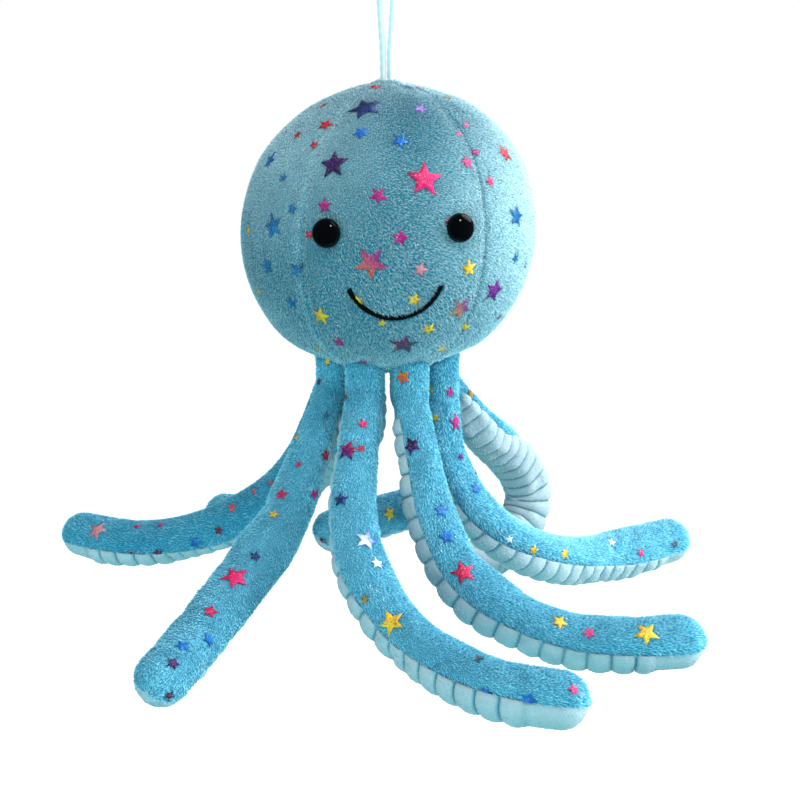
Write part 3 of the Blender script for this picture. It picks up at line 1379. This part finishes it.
def sprinkle_glitter(panels, printed, chance):
    """Small six-sided flakes of glitter where the photograph shows them."""
    turns = [math.radians(60 * k) for k in range(6)]
    for across, down, spread, count in GLITTER:
        for _ in range(count):
            found = seen_at(panels, across + chance.gauss(0, spread / 2), down + chance.gauss(0, spread / 2))
            if found is None or found[0] not in printed:
                continue
            panel, place, normal, _ = found
            size = FLAKE_RADIUS * chance.uniform(0.7, 1.3)
            outline = [(size * math.cos(turn), size * math.sin(turn)) for turn in turns]
            panel.stars.append(Star(place, normal, size, "ice", Vector((0.1, 0.2, 1.0)), outline))


def strew_hidden_stars(panels, printed, taken, chance):
    """Stars by chance at the same density where the photograph can't show them."""
    foils = [name for name in FOILS if name not in FOILS_NOT_HIDDEN]
    for panel in printed:
        columns = panel.grid.shape[1]
        corner = panel.grid[:-1, :-1]
        areas = np.linalg.norm(np.cross(panel.grid[1:, :-1] - corner, panel.grid[:-1, 1:] - corner), axis=-1)
        weights = np.cumsum(areas.ravel() / areas.sum())
        for _ in range(round(float(areas.sum()) * HIDDEN_STARS * TRIES_PER_STAR)):
            cell = min(int(np.searchsorted(weights, chance.random())), areas.size - 1)
            r, c = divmod(cell, columns - 1)
            place, normal = Vector(panel.grid[r, c]), Vector(panel.normals[r, c])
            if any((place - other).length < STAR_SPACING for other in taken):
                continue
            size = chance.choice(HIDDEN_STAR_SIZES)
            up = Vector((chance.uniform(-1, 1), chance.uniform(-1, 1), chance.uniform(-1, 1)))
            star = Star(place, normal, size, chance.choice(foils), up, star_outline(size, chance))
            ends = [place + way * size * end for way in (star.up, star.side) for end in (-1, 1)]
            if all(hidden_from_camera(panels, spot, normal) for spot in [place] + ends):
                panel.stars.append(star)
                taken.append(place)


def strew_stars(panels):
    """The print: stars all over the blue panels, with glitter where the photograph shows it."""
    chance = random.Random(STAR_SEED)
    printed = [panel for panel in panels if panel.finish != WHITE_PLUSH]
    taken = print_seen_stars(panels, printed, chance)
    sprinkle_glitter(panels, printed, chance)
    strew_hidden_stars(panels, printed, taken, chance)


# Pile

def picked(tree, points, index, value, kind="FLOAT"):
    """A value of one of the loose points."""
    return put(tree, "GeometryNodeSampleIndex", {"data_type": kind}, Geometry=points, Value=value,
               Index=index)


def named(tree, name, kind="FLOAT"):
    return put(tree, "GeometryNodeInputNamedAttribute", {"data_type": kind}, Name=name)


def object_geometry(tree, thing):
    return put(tree, "GeometryNodeObjectInfo", Object=thing).output("Geometry")


def within_star(tree, stars, place):
    """Whether a place lies inside the nearest star."""
    nearest = put(tree, "GeometryNodeSampleNearest", Geometry=stars, Sample_Position=place)
    middle = picked(tree, stars, nearest, put(tree, "GeometryNodeInputPosition"), "FLOAT_VECTOR")
    up, side = (picked(tree, stars, nearest, named(tree, name, "FLOAT_VECTOR"), "FLOAT_VECTOR")
                for name in ("up", "side"))
    size = picked(tree, stars, nearest, named(tree, "size"))
    off = place - middle
    x, y = reckon("DOT_PRODUCT", off, side), reckon("DOT_PRODUCT", off, up)
    far = reckon("SQRT", x * x + y * y)
    fifth = math.tau / 5
    turns = reckon("ARCTAN2", x, y) / fifth
    off_tip = reckon("ABSOLUTE", turns - reckon("ROUND", turns)) * fifth
    slant = reckon("SINE", off_tip) + reckon("SINE", fifth / 2 - off_tip) * STAR_NOTCH_SHARE
    edge = size * (STAR_NOTCH_SHARE * math.sin(fifth / 2)) / slant
    return (far < edge) * (reckon("LENGTH", off) < size * 1.2)


def within_spot(tree, spots, place):
    """Whether a place lies under something that covers the cloth."""
    nearest = put(tree, "GeometryNodeSampleNearest", Geometry=spots, Sample_Position=place)
    middle = picked(tree, spots, nearest, put(tree, "GeometryNodeInputPosition"), "FLOAT_VECTOR")
    return reckon("LENGTH", place - middle) < picked(tree, spots, nearest, named(tree, "size"))


def by_chance(tree, low, high, seed, kind="FLOAT"):
    """A random value for each point."""
    first, second = ("i0", "i1") if kind == "FLOAT_VECTOR" else ("i2", "i3")
    return put(tree, "FunctionNodeRandomValue", {"data_type": kind}, **{first: low, second: high, "i8": seed})


def rotated(tree, rotation, turns):
    """A rotation turned further about its own axis."""
    further = put(tree, "FunctionNodeEulerToRotation", Euler=put(tree, "ShaderNodeCombineXYZ", Z=turns))
    return put(tree, "FunctionNodeRotateRotation", {"rotation_space": "LOCAL"}, Rotation=rotation,
               Rotate_By=further)


def pile_tree():
    """Short tapered fibres all over a panel's outside, brushed one way, none under a star or a face piece.
    Here and there a fibre is a dark one."""
    tree, given, result = new_tree("pile", [
        ("Density", "Float", 3e6), ("Length", "Float", 2 * MM), ("Width", "Float", 0.4 * MM),
        ("Lean", "Float", 0.6), ("Stray", "Float", 0.32), ("Swirl", "Float", 1.3),
        ("Swirl scale", "Float", 60.0), ("Seed", "Int", 3),
        ("Clumps", "Float", 0.7), ("Clump scale", "Float", 260.0), ("Dark share", "Float", 0.02),
        ("Stars", "Object", None), ("Bare spots", "Object", None), ("Foils", "Object", None),
        ("Finish", "Material", None)])
    sown = put(tree, "GeometryNodeDistributePointsOnFaces", Mesh=given["Geometry"],
               Selection=named(tree, "outer") > 0.5, Density=given["Density"], Seed=given["Seed"])
    normal = sown.output("Normal")
    place = put(tree, "GeometryNodeInputPosition")
    covered = (within_star(tree, object_geometry(tree, given["Stars"]), place)
               + within_spot(tree, object_geometry(tree, given["Bare spots"]), place))
    kept = put(tree, "GeometryNodeDeleteGeometry", {"domain": "POINT"}, Geometry=sown,
               Selection=covered > 0.5)
    swirl = (noise(tree, place, given["Swirl scale"], 2.0).output("Color") - (0.5, 0.5, 0.5)) * given["Swirl"]
    stray = by_chance(tree, (-1, -1, -1), (1, 1, 1), 5, "FLOAT_VECTOR") * given["Stray"]
    way = named(tree, "brush", "FLOAT_VECTOR") + swirl + stray
    flat_way = reckon("NORMALIZE", way - normal * reckon("DOT_PRODUCT", way, normal))
    lean = given["Lean"] + by_chance(tree, -0.2, 0.25, 7)
    aim = flat_way * reckon("COSINE", lean) + normal * reckon("SINE", lean)
    clumps = (noise(tree, place, given["Clump scale"], 2.0) - 0.5) * given["Clumps"]
    tone = by_chance(tree, -0.18, 0.18, 9) + named(tree, "tone") + clumps
    is_pale = by_chance(tree, 0.0, 1.0, 15) > given["Dark share"]
    toned = put(tree, "GeometryNodeStoreNamedAttribute", Geometry=kept, Name="tone",
                Value=put(tree, "ShaderNodeClamp", Value=tone * is_pale))
    fibre = put(tree, "GeometryNodeMeshCone", {"fill_type": "NGON"}, Vertices=FIBRE_SIDES, Radius_Top=0.0,
                Radius_Bottom=given["Width"] * 0.5, Depth=given["Length"])
    height = put(tree, "ShaderNodeSeparateXYZ", Vector=put(tree, "GeometryNodeInputPosition")).output("Z")
    risen = put(tree, "GeometryNodeStoreNamedAttribute", Geometry=fibre, Name="rise",
                Value=height / given["Length"])
    aimed = put(tree, "FunctionNodeAlignRotationToVector", {"axis": "Z"}, Vector=aim)
    grown_pile = put(tree, "GeometryNodeInstanceOnPoints", Points=toned, Instance=risen,
                     Rotation=rotated(tree, aimed, by_chance(tree, 0.0, math.tau, 11)),
                     Scale=by_chance(tree, 0.75, 1.15, 13))
    fibres = put(tree, "GeometryNodeStoreNamedAttribute", {"data_type": "FLOAT2", "domain": "CORNER"},
                 Geometry=put(tree, "GeometryNodeRealizeInstances", Geometry=grown_pile), Name="OFBake",
                 Value=fibre_place(tree))
    dressed, cloth = (put(tree, "GeometryNodeSetMaterial", Geometry=geometry, Material=given["Finish"])
                      for geometry in (fibres, given["Geometry"]))
    joined = tree.nodes.new("GeometryNodeJoinGeometry")
    for geometry in (object_geometry(tree, given["Foils"]), dressed, cloth):
        feed_socket(joined.inputs[0], geometry)
    feed(result, Geometry=Field(joined.outputs[0]))
    return tree


def fibre_place(tree):
    """Where a fibre's corner lies in the panel's map: across by its tone, up by its rise."""
    corner = put(tree, "GeometryNodeFieldOnDomain", {"data_type": "INT", "domain": "POINT"},
                 Value=put(tree, "GeometryNodeInputIndex"))
    which = reckon("MODULO", corner, FIBRE_SIDES + 1.0)
    rise, tone = named(tree, "rise"), named(tree, "tone")
    low = 1.0 - rise
    across = tone * PILE_MAP_WIDTH + MAP_MARGIN + which * FIBRE_STEP_ACROSS * low
    bottom, top = PILE_BAND[0] + PILE_MAP_MARGIN, PILE_BAND[1]
    up = rise * (top - bottom) + bottom - which * which * FIBRE_STEP_DOWN * low
    return put(tree, "ShaderNodeCombineXYZ", X=across, Y=up)


def finish_panel(panel, pile, seed, chance):
    """Grows the pile on a panel, adds its stars, and hands it to the body that it rides on."""
    piece = panel.cloth()
    helpers = {"Stars": star_points(panel), "Bare_spots": bare_points(panel),
               "Foils": foil_mesh(panel, chance)}
    given = {name: thing for name, thing in helpers.items() if thing is not None}
    piece.data = grown(piece, pile, Finish=panel.finish, Seed=seed, **panel.pile, **given)
    for thing in given.values():
        bpy.data.objects.remove(thing)
    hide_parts(*panel.nodes)
    "white_plush" if panel.finish == WHITE_PLUSH else "blue_plush"
    if panel.body == "head":
        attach(piece, "head")
    else:
        pivot = Vector(Arm(panel.body.removeprefix("arm_")).pivot)
        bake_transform(piece)


# Face pieces

def eye_seat(side):
    """The back of an eye's dome, and the way that it looks."""
    out = face_direction(side, EYE_LEVEL)
    place, _ = on_head(HEAD_SURFACE, out)
    return place + out * (HEAD_DEPTH - EYE_SINK), out


def make_eye(name, node, side):
    """A glossy dome on a shank, turned about its axis."""
    place, out = eye_seat(side)
    dome = [math.radians(90 * k / EYE_DOME_RINGS) for k in range(1, EYE_DOME_RINGS)]
    back = [(EYE_EDGE, -EYE_SHANK_LENGTH), (EYE_SHANK_RADIUS, -EYE_SHANK_LENGTH), (EYE_SHANK_RADIUS, 0),
            (EYE_RADIUS - EYE_EDGE, 0), (EYE_RADIUS, EYE_EDGE), (EYE_RADIUS, EYE_BRIM)]
    front = [(EYE_RADIUS * math.cos(a), EYE_BRIM + (EYE_HEIGHT - EYE_BRIM) * math.sin(a)) for a in dome]
    profile = back + front
    turn = out.to_track_quat("Z", "Y").to_matrix()
    places = [place + turn @ Vector((0, 0, -EYE_SHANK_LENGTH))]
    for radius, height in profile:
        for k in range(EYE_SIDES):
            angle = math.tau * k / EYE_SIDES
            places.append(place + turn @ Vector((radius * math.cos(angle), radius * math.sin(angle), height)))
    places.append(place + turn @ Vector((0, 0, EYE_HEIGHT)))

    def at(row, k):
        return 1 + row * EYE_SIDES + k % EYE_SIDES

    around, top = range(EYE_SIDES), len(profile) - 1
    faces = [(0, at(0, k + 1), at(0, k)) for k in around]
    for row in range(top):
        faces += [(at(row, k), at(row, k + 1), at(row + 1, k + 1), at(row + 1, k)) for k in around]
    faces += [(at(top, k), at(top, k + 1), len(places) - 1) for k in around]
    eye = new_piece(name, places, faces)
    eye.data.polygons.foreach_set("use_smooth", [k >= len(back) * EYE_SIDES for k in range(len(faces))])
    eye.data.materials.append(EYE_PLASTIC)
    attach(eye, "head")
    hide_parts(node)
    return place + out * EYE_SINK


def mouth_line(surface):
    """Points along the mouth's arc on the face, evenly spaced, with the surface's normal at each."""
    reach = (MOUTH_SIDE ** 2 + MOUTH_DROP ** 2) / (2 * MOUTH_DROP)
    end = math.asin(MOUTH_SIDE / reach)
    found = []
    for angle in np.linspace(-end, end, MOUTH_POINTS):
        level = MOUTH_END_LEVEL + reach * (math.cos(end) - math.cos(angle))
        found.append(on_head(surface, face_direction(reach * math.sin(angle), level)))
    places, normals = (np.array([item[k] for item in found]) for k in (0, 1))
    return evenly(places, normals, STITCH_PITCH)


def stitches_tree():
    """A row of thread stitches laid across a line of points, each arched and a little uneven."""
    tree, given, result = new_tree("stitches", [
        ("Span", "Float", 2.6 * MM), ("Thread", "Float", 0.28 * MM), ("Arch", "Float", 1.0 * MM),
        ("Slant", "Float", 0.15), ("Uneven", "Float", 0.1), ("Seed", "Int", 1), ("Finish", "Material", None)])
    half = given["Span"] * 0.5
    bow = put(tree, "GeometryNodeCurveQuadraticBezier", Resolution=7,
              Start=put(tree, "ShaderNodeCombineXYZ", X=half * -1.0),
              Middle=put(tree, "ShaderNodeCombineXYZ", Z=given["Arch"]),
              End=put(tree, "ShaderNodeCombineXYZ", X=half))
    section = put(tree, "GeometryNodeCurvePrimitiveCircle", Resolution=6, Radius=given["Thread"])
    thread = put(tree, "GeometryNodeCurveToMesh", Curve=bow, Profile_Curve=section, Fill_Caps=True)
    stitch = put(tree, "GeometryNodeSetShadeSmooth", Geometry=thread)
    facing = put(tree, "FunctionNodeAxesToRotation", {"primary_axis": "Z", "secondary_axis": "Y"},
                 Primary_Axis=named(tree, "outward", "FLOAT_VECTOR"),
                 Secondary_Axis=named(tree, "along", "FLOAT_VECTOR"))
    slant = given["Slant"] + by_chance(tree, -0.07, 0.07, given["Seed"])
    size = by_chance(tree, -1.0, 1.0, given["Seed"]) * given["Uneven"] + 1.0
    laid = put(tree, "GeometryNodeInstanceOnPoints", Points=given["Geometry"], Instance=stitch,
               Rotation=rotated(tree, facing, slant), Scale=size)
    finish_tree(tree, laid, given["Finish"], result)
    return tree


def sew(name, stitches, places, normals, lift, **values):
    """A row of stitches along a line on the head."""
    line = new_piece(name, places + normals * lift)
    lay_down(line.data, "outward", normals, "FLOAT_VECTOR")
    lay_down(line.data, "along", unit(np.gradient(places, axis=0)), "FLOAT_VECTOR")
    line.data = grown(line, stitches, **values)
    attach(line, "head")
    return line


def sew_face_and_seam(panels):
    """Satin stitches for the mouth, and ladder stitches where the stuffing went in, at a seam behind."""
    stitches = stitches_tree()
    face, behind = panels[GORES.index("face")], panels[GORES.index("back_right")]
    places, normals = mouth_line(face.surface)
    mouth = sew("mouth_stitches", stitches, places, normals, MOUTH_LIFT, Finish=MOUTH_THREAD,
                Span=MOUTH_WIDTH, Arch=MOUTH_ARCH, Seed=2)
    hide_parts("mouth_thread")
    face.bare_spots += [(Vector(place), MOUTH_WIDTH * MOUTH_BARE_SHARE) for place in places[::2]]
    first, last = (len(behind.grid) * twelfths // 12 for twelfths in CLOSING_TWELFTHS)
    places, normals = evenly(behind.grid[first:last, -1], behind.normals[first:last, -1], LADDER_PITCH)
    closing = sew("closing_stitches", stitches, places, normals, LADDER_LIFT, Finish=SEWING_THREAD, Seed=4,
                  **LADDER_STITCH)


def build():
    panels = head_panels()
    for side, name in ((-EYE_SIDE, "left"), (EYE_SIDE, "right")):
        seat = make_eye(f"eye_dome_{name}", f"eye_{name}", side)
        panels[0].bare_spots.append((seat, EYE_RADIUS))
    sew_face_and_seam(panels)
    panels.append(base_panel())
    ribs = ribs_tree()
    for name in ARMS:
        panels += arm_panels(Arm(name), ribs)
    strew_stars(panels)
    pile = pile_tree()
    chance = random.Random(FOIL_SEED)
    for k, panel in enumerate(panels):
        finish_panel(panel, pile, k + 1, chance)


build()


# Floor and light

def lay_floor():
    corners = [(x * FLOOR_HALF, y * FLOOR_HALF, FLOOR_LEVEL) for x, y in ((-1, -1), (1, -1), (1, 1), (-1, 1))]
    floor = new_piece("floor", corners, [(0, 1, 2, 3)])
    paint = plain_material("floor_paint", (254, 254, 254), 0.9, 3.0, 0.1 * MM, darkening=0.01)
    floor.data.materials.append(paint)
    floor.visible_diffuse = False
    floor.visible_glossy = False


def hang_lamp(name, kind, place, aim, power):
    data = bpy.data.lights.new(name, kind)
    data.energy = power
    lamp = link(name, data)
    lamp.location = place
    lamp.rotation_mode = "QUATERNION"
    lamp.rotation_quaternion = (Vector(place) - Vector(aim)).to_track_quat("Z", "Y")
    return lamp


def light_studio():
    sun = hang_lamp("back_light", "SUN", SUN_PLACE, (0, 0, 0), SUN_STRENGTH)
    sun.data.angle = math.radians(SUN_SPREAD_DEGREES)
    for name, (place, width, power, is_mirrored, colour) in LAMPS.items():
        lamp = hang_lamp(name, "AREA", place, HEAD_CENTRE, power)
        lamp.data.shape = "DISK"
        lamp.data.size = width
        lamp.data.color = colour
        lamp.visible_glossy = is_mirrored


def white_room():
    """A white room, seen as plain white, and dimmer as light, most so from below."""
    world = bpy.data.worlds.new("studio")
    scene.world = world
    world.use_nodes = True
    tree = world.node_tree
    ray = put(tree, "ShaderNodeLightPath")
    way = put(tree, "ShaderNodeSeparateXYZ", Vector=put(tree, "ShaderNodeTexCoord").output("Generated"))
    light = shade_mix(tree, mapped(tree, way.output("Z"), *ROOM_HEIGHTS), ROOM_BELOW, ROOM_ABOVE)
    light = shade_mix(tree, ray.output("Is Glossy Ray"), light, ROOM_MIRRORED)
    feed(tree.nodes["Background"], Color=shade_mix(tree, ray.output("Is Camera Ray"), light, (1, 1, 1, 1)))


lay_floor()
light_studio()
white_room()
scene.view_settings.view_transform = "Standard"

NODE_FINISHES = {
    "eye_washer_left": WASHER_PLASTIC,
    "eye_washer_right": WASHER_PLASTIC,
    "loop_knot": CORD_FIBRE,
}
for name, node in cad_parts.items():
    node.data.materials.clear()
    node.data.materials.append(NODE_FINISHES.get(name, BLUE_PLUSH))
